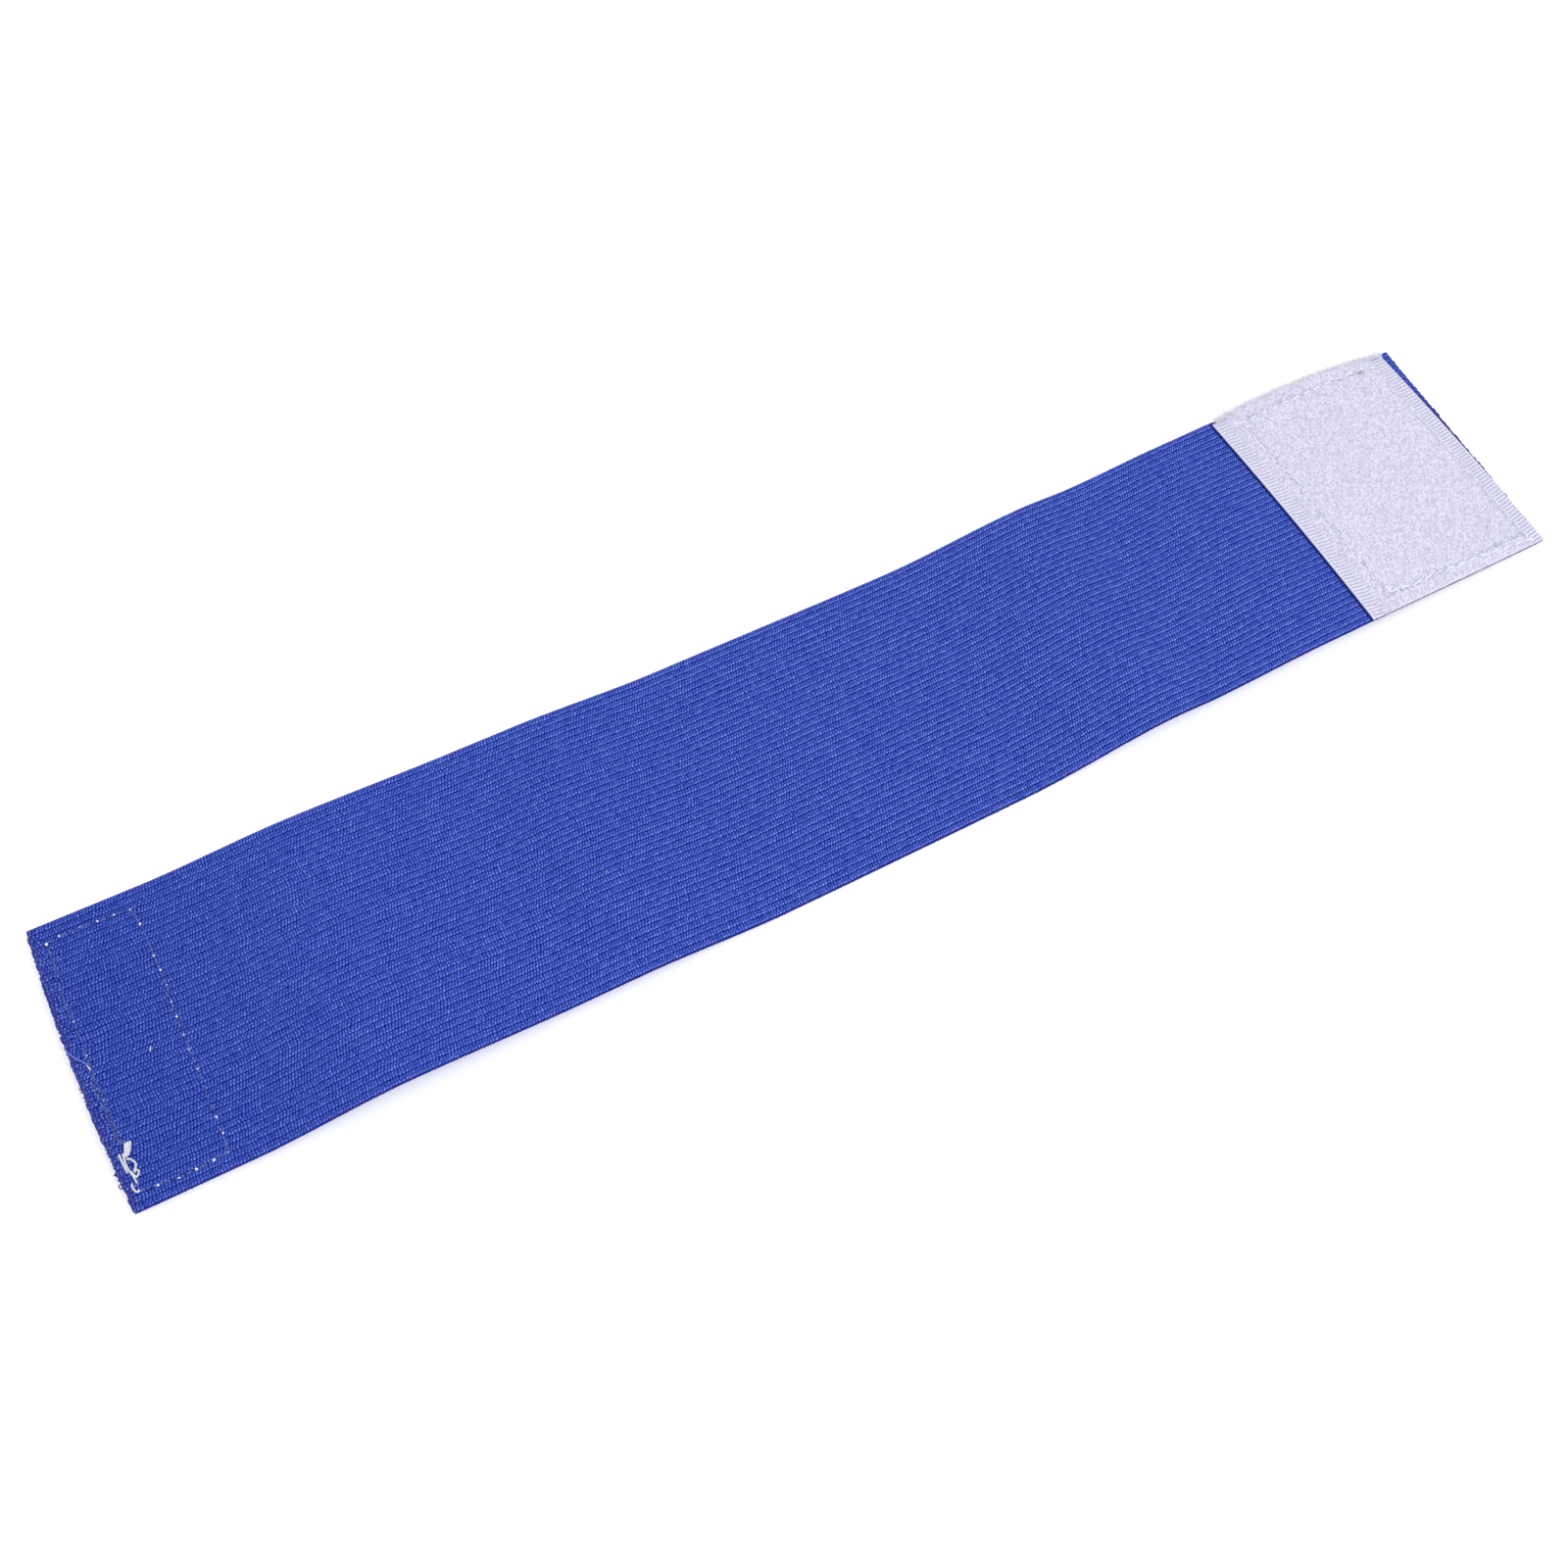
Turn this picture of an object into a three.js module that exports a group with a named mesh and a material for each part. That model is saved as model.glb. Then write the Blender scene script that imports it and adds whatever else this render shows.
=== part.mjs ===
// Captain armband: a ribbed elastic band, laid flat with soft ripples.
// Hook tape is sewn under its left end and a wider loop tape on top of its right end,
// so the band wraps round an upper arm and closes on itself.
// Millimetres, +X towards the loop tape, +Y away from the viewer, +Z up.
import * as THREE from "three";
import { mergeVertices } from "three/addons/utils/BufferGeometryUtils.js";

// Elastic band
const bandLength = 330;
const bandWidth = 60;
const bandThickness = 1.2;
const ribPitch = 1.43;
const ribDepth = 0.2;
const cutBulge = 1.0;
const sideBow = 1.7;

// Hook tape, sewn under the left end with its hooks down
const hookTapeWidth = 20;
const hookTapeMargin = 1.5;
const hookBase = 0.6;
const hookHeight = 1.1;
const hookSelvedge = 2.0;
const hookInset = 0.5;

// Loop tape, sewn on top of the right end, a little askew, with its pile up
const loopTapeWidth = 51.5;
const loopNearOverhang = 0.3;
const loopFarInset = 1.0;
const loopBase = 1.0;
const loopPile = 1.0;
const loopInnerSelvedge = 4.6;
const loopOuterSelvedge = 3.5;
const pileShoulder = 0.8;
const loopEndInset = 1.8;
const loopSkewDegrees = 2.2;
const loopSideBow = 0.5;
const loopFarBulge = 1.6;

// How the armband lies
const rippleHeight = 5.6;
const loopEndRise = 3.8;
const tapeMargin = 1.0;
const seamGap = 0.3;

// Facets
const stationPitch = 8.25;
const undersideStripWidth = 7.5;
const tapeStripWidth = 7.4;

// The folds from the hook tape to the loop tape: where each lies, as a share of the
// free length between the tapes, and how high the band's underside is there at its
// near edge, along its middle and at its far edge, as shares of the ripple height.
const folds = [
  { at: 0.12, near: 1.0, middle: 1.0, far: 0.75 },
  { at: 0.265, near: 0.64, middle: 0.54, far: 0.56 },
  { at: 0.305, near: 0.62, middle: 0.7, far: 0.54 },
  { at: 0.44, near: 0.0, middle: 0.04, far: 0.12 },
  { at: 0.66, near: 0.0, middle: 0.0, far: 0.0 },
  { at: 0.8, near: 0.84, middle: 0.75, far: 0.57 },
  { at: 0.85, near: 0.66, middle: 0.48, far: 0.44 },
  { at: 0.95, near: 0.77, middle: 0.79, far: 0.65 },
];

// Both tapes are cut to the width of the band.
const hookTapeLength = bandWidth - 2 * hookTapeMargin;
const loopTapeLength = bandWidth + loopNearOverhang - loopFarInset;

const loopSkew = Math.tan(THREE.MathUtils.degToRad(loopSkewDegrees));
const hookEnd = hookInset + hookTapeWidth + tapeMargin;
const loopMiddle = bandLength - loopEndInset - loopTapeWidth / 2;
const loopReach = loopTapeWidth / 2 + (loopSkew * loopTapeLength) / 2 + tapeMargin;
const loopStart = loopMiddle - loopReach;

const level = (at, height) => ({ at, near: height, middle: height, far: height });
const hookSeat = hookBase + hookHeight + seamGap;
const sections = [
  level(0, hookSeat),
  level(hookEnd, hookSeat),
  ...folds.map(({ at, near, middle, far }) => ({
    at: hookEnd + at * (loopStart - hookEnd),
    near: near * rippleHeight,
    middle: middle * rippleHeight,
    far: far * rippleHeight,
  })),
  level(loopStart, loopEndRise),
];

// The height of the band's underside, x from the cut end and y from the middle line.
// Each section is a crest or a trough, joined to the next by a smooth ramp, and the
// stiff loop end is one plane that comes down to the table.
function undersideHeight(x, y) {
  if (x >= loopStart) return loopEndRise * (1 - (x - loopStart) / (bandLength - loopStart));
  const next = Math.max(1, sections.findIndex((section) => section.at > x));
  const [a, b] = [sections[next - 1], sections[next]];
  const ramp = THREE.MathUtils.smoothstep(x, a.at, b.at);
  const mix = (side) => THREE.MathUtils.lerp(a[side], b[side], ramp);
  const across = y / (bandWidth / 2);
  const tilt = (mix("far") - mix("near")) / 2;
  const dish = (mix("far") + mix("near")) / 2 - mix("middle");
  return mix("middle") + tilt * across + dish * across * across;
}

// The band lies a little curved on the table, its two ends further off than its middle.
function sideShift(x) {
  const along = (2 * x) / bandLength - 1;
  return sideBow * along * along;
}

// Moves a piece from the straight, flat band to where it lies. Its z is counted from
// the band's underside.
function lay(geometry, shift = () => 0) {
  const place = geometry.getAttribute("position");
  for (let i = 0; i < place.count; i++) {
    const [x, y, z] = [place.getX(i), place.getY(i), place.getZ(i)];
    place.setXYZ(i, x + shift(x, y), y + sideShift(x), z + undersideHeight(x, y));
  }
  return geometry;
}

// Extrudes a closed outline along +X or +Y as one closed mesh. The outline's own x runs
// across the piece and its own y is height.
function bar(outline, length, steps, along) {
  const shape = new THREE.Shape(outline.map(([across, height]) => new THREE.Vector2(across, height)));
  const geometry = new THREE.ExtrudeGeometry(shape, { depth: length, steps, bevelEnabled: false });
  geometry.rotateX(Math.PI / 2);
  if (along === "x") geometry.rotateZ(Math.PI / 2);
  else geometry.translate(0, length, 0);
  geometry.deleteAttribute("normal");
  geometry.deleteAttribute("uv");
  return mergeVertices(geometry, 1e-4);
}

// Points at one height from one place to another, about a strip's width apart.
function strips(from, to, height, stripWidth) {
  const count = Math.round(Math.abs(to - from) / stripWidth);
  return Array.from({ length: count + 1 }, (_, i) => [from + ((to - from) * i) / count, height]);
}

function piece(name, geometry, color, roughness) {
  geometry.computeVertexNormals();
  const material = new THREE.MeshStandardMaterial({ color, roughness, metalness: 0 });
  const mesh = new THREE.Mesh(geometry, material);
  mesh.name = name;
  return mesh;
}

// The woven elastic: ribs along its upper face, a plain underside, a cut left end that
// bulges slightly.
function elasticBand() {
  const ribs = Math.round(bandWidth / ribPitch);
  const rib = bandWidth / ribs;
  const outline = strips(-bandWidth / 2, bandWidth / 2, 0, undersideStripWidth);
  for (let i = 0; i <= 2 * ribs; i++) {
    const groove = i % 2 === 0;
    outline.push([bandWidth / 2 - (i * rib) / 2, bandThickness - (groove ? ribDepth : 0)]);
  }
  const steps = Math.round(bandLength / stationPitch);
  const geometry = bar(outline, bandLength, steps, "x");
  const bulge = (x, y) => {
    const nearCut = Math.max(0, 1 - x / hookEnd);
    const across = y / (bandWidth / 2);
    return -cutBulge * nearCut * (1 - across * across);
  };
  return piece("elastic_band", lay(geometry, bulge), 0x3e52af, 0.85);
}

// The hook tape under the cut end: a thin base with two woven selvedges, and between
// them the field of hooks that stands on the table.
function hookTape() {
  const [left, right] = [hookInset, hookInset + hookTapeWidth];
  const base = -seamGap - hookBase;
  const outline = [
    [left, -seamGap],
    [left, base],
    [left + hookSelvedge, base],
    [left + hookSelvedge, base - hookHeight],
    [right - hookSelvedge, base - hookHeight],
    [right - hookSelvedge, base],
    [right, base],
    [right, -seamGap],
  ];
  const steps = Math.round(hookTapeLength / tapeStripWidth);
  const geometry = bar(outline, hookTapeLength, steps, "y");
  geometry.translate(0, -hookTapeLength / 2, 0);
  return piece("hook_patch", lay(geometry), 0xe9e9f0, 0.7);
}

// The loop tape: a base with two woven selvedges and a raised field of pile between
// them. Its far edge is cut in a slight curve, and its sides bow a little to the right.
function loopTape() {
  const base = bandThickness + seamGap;
  const pileStart = loopInnerSelvedge + pileShoulder;
  const pileEnd = loopTapeWidth - loopOuterSelvedge - pileShoulder;
  const outline = [
    ...strips(0, loopTapeWidth, base, tapeStripWidth),
    [loopTapeWidth, base + loopBase],
    [loopTapeWidth - loopOuterSelvedge, base + loopBase],
    ...strips(pileEnd, pileStart, base + loopBase + loopPile, tapeStripWidth),
    [loopInnerSelvedge, base + loopBase],
    [0, base + loopBase],
  ];
  const steps = Math.round(loopTapeLength / tapeStripWidth);
  const geometry = bar(outline, loopTapeLength, steps, "y");
  const nearEdge = -bandWidth / 2 - loopNearOverhang;
  geometry.translate(loopMiddle - loopTapeWidth / 2, nearEdge, 0);
  const place = geometry.getAttribute("position");
  for (let i = 0; i < place.count; i++) {
    const [x, y] = [place.getX(i), place.getY(i)];
    const across = (x - loopMiddle) / (loopTapeWidth / 2);
    const up = (y - nearEdge) / loopTapeLength;
    place.setY(i, y + loopFarBulge * up * (1 - across * across));
    const fromMiddle = y / (bandWidth / 2);
    place.setX(i, x - loopSkew * y + loopSideBow * (1 - fromMiddle * fromMiddle));
  }
  return piece("loop_patch", lay(geometry), 0xdddcf0, 0.95);
}

const armband = new THREE.Group();
armband.add(elasticBand(), hookTape(), loopTape());

// The origin is under the middle of the armband, on the table.
const box = new THREE.Box3().setFromObject(armband);
const middle = box.getCenter(new THREE.Vector3());
armband.position.set(-middle.x, -middle.y, -box.min.z);

export default armband;
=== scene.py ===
# %% [markdown]
# # A captain's armband
# The armband is a strip of ribbed elastic with a piece of hook tape sewn under its cut
# end and a wider piece of loop tape on top of its other end. Here it lies open on a
# table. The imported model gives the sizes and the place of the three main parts, and each
# of them is made again in finer detail, with its threads, hooks and pile.

import math

import bmesh
import bpy
import numpy as np
from mathutils import Matrix, Vector


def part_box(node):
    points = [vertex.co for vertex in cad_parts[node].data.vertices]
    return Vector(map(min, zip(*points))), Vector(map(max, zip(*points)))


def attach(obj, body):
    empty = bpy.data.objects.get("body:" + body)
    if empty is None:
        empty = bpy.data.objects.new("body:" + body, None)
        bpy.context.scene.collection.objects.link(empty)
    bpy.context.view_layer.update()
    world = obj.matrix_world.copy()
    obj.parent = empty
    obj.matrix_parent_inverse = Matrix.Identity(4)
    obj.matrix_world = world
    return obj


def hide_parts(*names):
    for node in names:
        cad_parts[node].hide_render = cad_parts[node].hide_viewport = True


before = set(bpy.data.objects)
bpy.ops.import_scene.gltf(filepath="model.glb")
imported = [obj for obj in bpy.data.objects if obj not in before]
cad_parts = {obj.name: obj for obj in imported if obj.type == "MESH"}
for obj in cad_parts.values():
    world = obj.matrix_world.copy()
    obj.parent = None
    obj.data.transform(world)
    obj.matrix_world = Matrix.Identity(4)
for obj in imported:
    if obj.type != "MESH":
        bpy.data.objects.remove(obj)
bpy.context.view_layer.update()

# %% [markdown]
# ## How the armband lies
# Cloth is easiest to make flat, as it was woven, and to lay down afterwards. So every
# piece is made in millimetres on a flat band: x runs from the cut end, y from the middle
# line towards the far edge, and z is the height above the band's underside. One rule,
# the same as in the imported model, then lifts it over the soft folds and curves it a
# little. Each fold is a share of the free length between the two tapes, with its height
# at the near edge, the middle and the far edge as shares of the ripple height.

# %% Sizes of the band, and the rule that lays it down
BAND_LENGTH = 330.0
BAND_WIDTH = 60.0
BAND_THICKNESS = 1.2
SEAM_GAP = 0.3
CUT_BULGE = 1.0
SIDE_BOW = 1.7
HOOK_END = 21.5
HOOK_SEAT = 2.0
RIPPLE_HEIGHT = 5.6
LOOP_END_RISE = 3.8

TAPE_WIDTH = 51.5
TAPE_LENGTH = 59.3
TAPE_OVERHANG = 0.3
TAPE_INSET = 1.8
TAPE_SKEW = math.tan(math.radians(2.2))
TAPE_FAR_BULGE = 1.6
TAPE_SIDE_BOW = 0.5
TAPE_LEFT = BAND_LENGTH - TAPE_INSET - TAPE_WIDTH
TAPE_MIDDLE = TAPE_LEFT + TAPE_WIDTH / 2
LOOP_START = TAPE_MIDDLE - TAPE_WIDTH / 2 - TAPE_SKEW * TAPE_LENGTH / 2 - 1.0

FOLDS = [
    (0.12, 1.0, 1.0, 0.75),
    (0.265, 0.64, 0.54, 0.56),
    (0.305, 0.62, 0.7, 0.54),
    (0.44, 0.0, 0.04, 0.12),
    (0.66, 0.0, 0.0, 0.0),
    (0.8, 0.84, 0.75, 0.57),
    (0.85, 0.66, 0.48, 0.44),
    (0.95, 0.77, 0.79, 0.65),
]
sections = [(0, *[HOOK_SEAT] * 3), (HOOK_END, *[HOOK_SEAT] * 3)]
for share, *heights in FOLDS:
    along = HOOK_END + share * (LOOP_START - HOOK_END)
    sections.append((along, *[RIPPLE_HEIGHT * height for height in heights]))
sections.append((LOOP_START, *[LOOP_END_RISE] * 3))
sections = np.array(sections)

band_low, band_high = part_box("elastic_band")
SHIFT_X = band_high.x * 1000 - BAND_LENGTH
SHIFT_Y = band_low.y * 1000 + BAND_WIDTH / 2


def underside_height(x, y):
    after = np.clip(np.searchsorted(sections[:, 0], x, "right"), 1, len(sections) - 1)
    low, high = sections[after - 1], sections[after]
    ramp = np.clip((x - low[:, 0]) / (high[:, 0] - low[:, 0]), 0, 1)
    ramp = ramp * ramp * (3 - 2 * ramp)
    near, middle, far = [low[:, k] + (high[:, k] - low[:, k]) * ramp for k in (1, 2, 3)]
    across = y / (BAND_WIDTH / 2)
    soft = middle + (far - near) / 2 * across + ((far + near) / 2 - middle) * across**2
    stiff = LOOP_END_RISE * (1 - (x - LOOP_START) / (BAND_LENGTH - LOOP_START))
    return np.where(x >= LOOP_START, stiff, soft)


def lay(flat):
    """Points of the flat band, in millimetres, moved to where they lie, in metres."""
    x, y, z = flat.T
    bow = SIDE_BOW * (2 * x / BAND_LENGTH - 1) ** 2
    places = [x + SHIFT_X, y + bow + SHIFT_Y, z + underside_height(x, y)]
    return np.stack(places, axis=1) / 1000


def bulged(flat):
    """The band's cut end bulges a little in its middle."""
    x, y, z = flat.T
    near_cut = np.clip(1 - x / HOOK_END, 0, None)
    return np.stack([x - CUT_BULGE * near_cut * (1 - (2 * y / BAND_WIDTH) ** 2), y, z], axis=1)


def on_the_band(tape):
    """Points of the loop tape, from its own near left corner, as they are on the band."""
    x, y, z = tape.T
    across = (x - TAPE_WIDTH / 2) / (TAPE_WIDTH / 2)
    moved = y - BAND_WIDTH / 2 - TAPE_OVERHANG
    moved = moved + TAPE_FAR_BULGE * (y / TAPE_LENGTH) * (1 - across**2)
    bowed = TAPE_LEFT - TAPE_SKEW * moved + TAPE_SIDE_BOW * (1 - (2 * moved / BAND_WIDTH) ** 2)
    return np.stack([x + bowed, moved, z], axis=1)


crest = lay(np.array([[50.0, 0.0, BAND_THICKNESS]]))[0]
print("the tallest fold is", round(crest[2] * 1000, 2), "mm high")

# %% [markdown]
# ## Camera
# The photograph was taken from above and in front of the left half, with a normal lens
# and the whole band in view. The place and the lens were worked out from the armband's
# own edges, so the picture and the model share one outline.

# %% Set up the camera
CAMERA_PLACE = Vector((-0.1148743, -0.133972, 0.3216703))
CAMERA_LOOK = Vector((0.2647, 0.3580, -0.8954)).normalized()
CAMERA_UP = Vector((0.4033, 0.8024, 0.4400))
CAMERA_LENS = 40.0147

camera_right = CAMERA_LOOK.cross(CAMERA_UP).normalized()
camera_up = camera_right.cross(CAMERA_LOOK)
turn = Matrix((camera_right, camera_up, -CAMERA_LOOK)).transposed().to_4x4()
camera = bpy.data.objects.new("camera", bpy.data.cameras.new("camera"))
camera.data.lens = CAMERA_LENS
camera.data.sensor_width = 36.0
camera.data.clip_start = 0.01
camera.matrix_world = Matrix.Translation(CAMERA_PLACE) @ turn
bpy.context.scene.collection.objects.link(camera)
bpy.context.scene.camera = camera
print("camera", round(CAMERA_PLACE.z * 1000), "mm above the table")

# %% [markdown]
# ## A wire that can be added
# A pattern such as a weave is arithmetic. With one small class round a node's output,
# Python's own plus and times make the Math nodes, so a pattern reads as a formula. The
# tree class makes every other node, in shader trees and in geometry trees alike.


# %% Wires and trees
class Wire:
    """One output of a node."""

    def __init__(self, tree, socket):
        self.tree = tree
        self.socket = socket

    def math(self, operation, *values):
        return self.tree.node("ShaderNodeMath", {"operation": operation}, dict(enumerate(values)))

    def __add__(self, other):
        return self.math("ADD", self, other)

    def __sub__(self, other):
        return self.math("SUBTRACT", self, other)

    def __mul__(self, other):
        return self.math("MULTIPLY", self, other)

    def __truediv__(self, other):
        return self.math("DIVIDE", self, other)

    def __radd__(self, other):
        return self.math("ADD", other, self)

    def __rsub__(self, other):
        return self.math("SUBTRACT", other, self)

    def __rmul__(self, other):
        return self.math("MULTIPLY", other, self)

    def fraction(self):
        return self.math("FRACT", self)

    def floor(self):
        return self.math("FLOOR", self)

    def size(self):
        return self.math("ABSOLUTE", self)

    def root(self):
        return self.math("SQRT", self)

    def wave(self):
        """1 at every whole number, 0 half way between."""
        return 0.5 + 0.5 * self.math("COSINE", 2 * math.pi * self)

    def least(self, other):
        return self.math("MINIMUM", self, other)

    def most(self, other):
        return self.math("MAXIMUM", self, other)

    def rise(self, start, end):
        """0 at start, 1 at end, and smooth between them."""
        sockets = {"Value": self, "From Min": start, "From Max": end}
        return self.tree.node("ShaderNodeMapRange", {"interpolation_type": "SMOOTHSTEP"}, sockets)

    def parts(self):
        first = self.tree.node("ShaderNodeSeparateXYZ", {}, {"Vector": self})
        return first, first.out("Y"), first.out("Z")

    def out(self, name):
        return Wire(self.tree, self.socket.node.outputs[name])


class Tree:
    """A node tree that is filled one node at a time."""

    def __init__(self, nodes):
        self.nodes = nodes
        nodes.nodes.clear()

    def node(self, kind, settings, sockets, out=0):
        made = self.nodes.nodes.new(kind)
        for name, value in settings.items():
            setattr(made, name, value)
        for name, value in sockets.items():
            if not isinstance(value, (Wire, list)):
                made.inputs[name].default_value = value
                continue
            for wire in value if isinstance(value, list) else [value]:
                self.nodes.links.new(wire.socket, made.inputs[name])
        return Wire(self, made.outputs[out]) if len(made.outputs) else None

    def vector(self, x, y, z):
        return self.node("ShaderNodeCombineXYZ", {}, {"X": x, "Y": y, "Z": z})

    def noise(self, place, scale, detail=2.0, curl=0.0):
        sockets = {"Vector": place, "Scale": scale, "Detail": detail, "Distortion": curl}
        return self.node("ShaderNodeTexNoise", {}, sockets)

    def chance(self, x, y):
        """A number from 0 to 1 that is the same all over one cell."""
        settings = {"noise_dimensions": "2D"}
        return self.node("ShaderNodeTexWhiteNoise", settings, {"Vector": self.vector(x, y, 0.0)})

    def kept(self, name, out):
        """What a piece has stored for each of its points."""
        return self.node("ShaderNodeAttribute", {"attribute_name": name}, {}, out)

    def tint(self, share, under, over):
        return self.node("ShaderNodeMix", {"data_type": "RGBA"}, {0: share, 6: under, 7: over}, 2)


def shade(red, green, blue):
    """A colour as a painter's chart gives it, from 0 to 255, made linear."""
    values = np.array([red, green, blue]) / 255
    linear = np.where(values <= 0.04045, values / 12.92, ((values + 0.055) / 1.055) ** 2.4)
    return (*[float(value) for value in linear], 1.0)


print("one wire class and one tree class, for shaders and geometry")

# %% [markdown]
# ## Table and light
# The armband lies on a white table under wide, soft studio light. A big lamp stands on
# the camera's side, so the near flank of each rib is a little brighter than the far one.
# A pale world fills the shadows, and the table glows slightly, so that it stays white
# right up to the cloth.

# %% Make the table and the light
TABLE_SIZE = 6.0
TABLE_DROP = 0.00008
TABLE_GLOW = 0.22
LAMP_SIZE = 0.9
LAMP_POWER = 6.5
LAMP_PLACE = Vector((0.25, -0.45, 1.1))
WORLD_LIGHT = 0.79

scene = bpy.context.scene
scene.view_settings.view_transform = "Standard"
scene.view_settings.look = "None"
world = bpy.data.worlds.new("studio")
world.use_nodes = True
world_tree = Tree(world.node_tree)
sky = world_tree.node("ShaderNodeBackground", {}, {"Color": (1, 1, 1, 1), "Strength": WORLD_LIGHT})
world_tree.node("ShaderNodeOutputWorld", {}, {"Surface": sky})
scene.world = world

lamp = bpy.data.objects.new("softbox", bpy.data.lights.new("softbox", "AREA"))
lamp.data.size = LAMP_SIZE
lamp.data.energy = LAMP_POWER
lamp.location = LAMP_PLACE
lamp.rotation_mode = "QUATERNION"
lamp.rotation_quaternion = LAMP_PLACE.to_track_quat("Z", "Y")
scene.collection.objects.link(lamp)


def new_finish(name):
    material = bpy.data.materials.new(name)
    material.use_nodes = True
    return material, Tree(material.node_tree)


def coat(tree, **sockets):
    """Ends a finish in one Principled shader."""
    named = {name.replace("_", " "): value for name, value in sockets.items()}
    surface = tree.node("ShaderNodeBsdfPrincipled", {}, named)
    tree.node("ShaderNodeOutputMaterial", {}, {"Surface": surface})


table_finish, tree = new_finish("white table")
grain = tree.noise(tree.node("ShaderNodeTexCoord", {}, {}, "Object"), 40.0)
table_colour = tree.tint(grain, shade(248, 248, 249), shade(252, 252, 252))
coat(
    tree,
    Base_Color=table_colour,
    Roughness=0.9,
    Emission_Color=(1.0, 1.0, 1.0, 1.0),
    Emission_Strength=TABLE_GLOW,
)
half = TABLE_SIZE / 2
corners = [(-half, -half), (half, -half), (half, half), (-half, half)]
table_mesh = bpy.data.meshes.new("table")
table_mesh.from_pydata([(x, y, -TABLE_DROP) for x, y in corners], [], [(0, 1, 2, 3)])
table_mesh.materials.append(table_finish)
table = bpy.data.objects.new("table", table_mesh)
scene.collection.objects.link(table)
print("table and one soft lamp")

# %% [markdown]
# ## The finish of the elastic
# Narrow cords run along the band, and fine weft threads cross each of them. Seen close,
# each rib has two rows of small slanting dots with dark gaps between them. The finish
# paints shade into the groove between two ribs, paints the near row of each rib a little
# lighter where the lamp falls on it, and paints glints on the brightest dots. The grooves
# stand out more towards the loop tape. All of that follows the cloth and not the room, so
# the finish reads the flat coordinates that each point had before it was laid down. It is
# one formula of waves for how light the cloth is, and a little noise keeps it from looking
# printed. The end below the loop tape lies in its shade, so it is tinted darker.

# %% Mix the elastic's finish
RIBS = 42
RIB_PITCH = BAND_WIDTH / RIBS
WEFT_PITCH = 0.604
WEFT_LEAN = 0.85
CUT_END_CONTRAST = 1.2
LOOP_END_CONTRAST = 2.3
BLUE = shade(38, 62, 160)
BLUE_LIGHT = shade(88, 112, 214)
BLUE_GLINT = shade(146, 162, 244)
BLUE_DEEP = shade(0, 12, 108)
BLUE_EDGE_SHADOW = shade(4, 20, 112)
BLUE_WORN = shade(84, 76, 168)
BLUE_SHADE = shade(34, 22, 84)

elastic_finish, tree = new_finish("ribbed elastic")
flat = tree.kept("flat", "Vector")
x, y, z = flat.parts()
drift = tree.noise(flat, 0.35) - 0.5
wavy = (y + BAND_WIDTH / 2) / RIB_PITCH + 0.25 * (tree.noise(flat, 0.9) - 0.5)
on_rib = wavy.fraction()
two_rows = 2 * wavy + 0.04
on_row = two_rows.fraction()
row = two_rows.floor()
pick = x / WEFT_PITCH + 1.6 * drift - WEFT_LEAN * on_rib + tree.chance(row, 7.0)
strand = pick.wave() - 0.5
cell = tree.chance((pick + 0.5).floor(), row)

# painted shade: the groove between two ribs is darkened in the colour
groove_shade = 1 - on_rib.least(1 - on_rib).rise(0.015, 0.1)
# painted light: the near row of each rib is made lighter, where the lamp falls on it
near = 1 - on_rib.rise(0.3, 0.5)
dots = on_row.least(1 - on_row).rise(0.08, 0.34)
grain = tree.noise(tree.vector(x, 1.6 * y, z), 3.0, 1.0) - 0.5
soft = tree.noise(flat, 0.7) - 0.5
heavy = CUT_END_CONTRAST + (LOOP_END_CONTRAST - CUT_END_CONTRAST) * x.rise(15.0, 200.0)
gaps = (0.0 - strand).rise(0.05, 0.42) * (0.35 + 0.65 * dots) * (0.7 + 0.6 * cell)
tone = 0.63 - 0.45 * gaps + 0.32 * strand * (0.3 + 0.7 * dots) + 0.17 * (dots - 0.5)
tone = tone + heavy * (0.08 * near - 0.41 * groove_shade + 0.1 * soft) + 0.14 * (cell - 0.5)
tone = tone + (1.0 + 1.1 * (1 - x.rise(0.5, 5.0))) * grain
# painted glints: the brightest dots are tinted pale blue and made a little glossier
painted_glints = (tone - 0.1 * groove_shade).rise(0.85, 1.2)
# painted shadow: a dark line on the cloth along the loop tape's left edge
seam_side = TAPE_LEFT - TAPE_SKEW * y + TAPE_SIDE_BOW * (1 - y * y / (BAND_WIDTH / 2) ** 2)
tape_edge_shadow = 1 - (x - seam_side + 0.1).size().rise(0.15, 0.5)
below_tape = 0.85 * (x - seam_side).rise(0.6, 2.0) * (1 - y.rise(4.0, 21.0))
ends = 1 - x.least(BAND_LENGTH - x).rise(0.0, 1.6)
sides = 1 - (BAND_WIDTH / 2 - y.size()).rise(0.0, 0.9)

colour = tree.tint(tone.rise(-0.2, 0.6), BLUE_DEEP, BLUE)
colour = tree.tint(tone.rise(0.35, 1.1), colour, BLUE_LIGHT)
colour = tree.tint(0.75 * painted_glints, colour, BLUE_GLINT)
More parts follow.
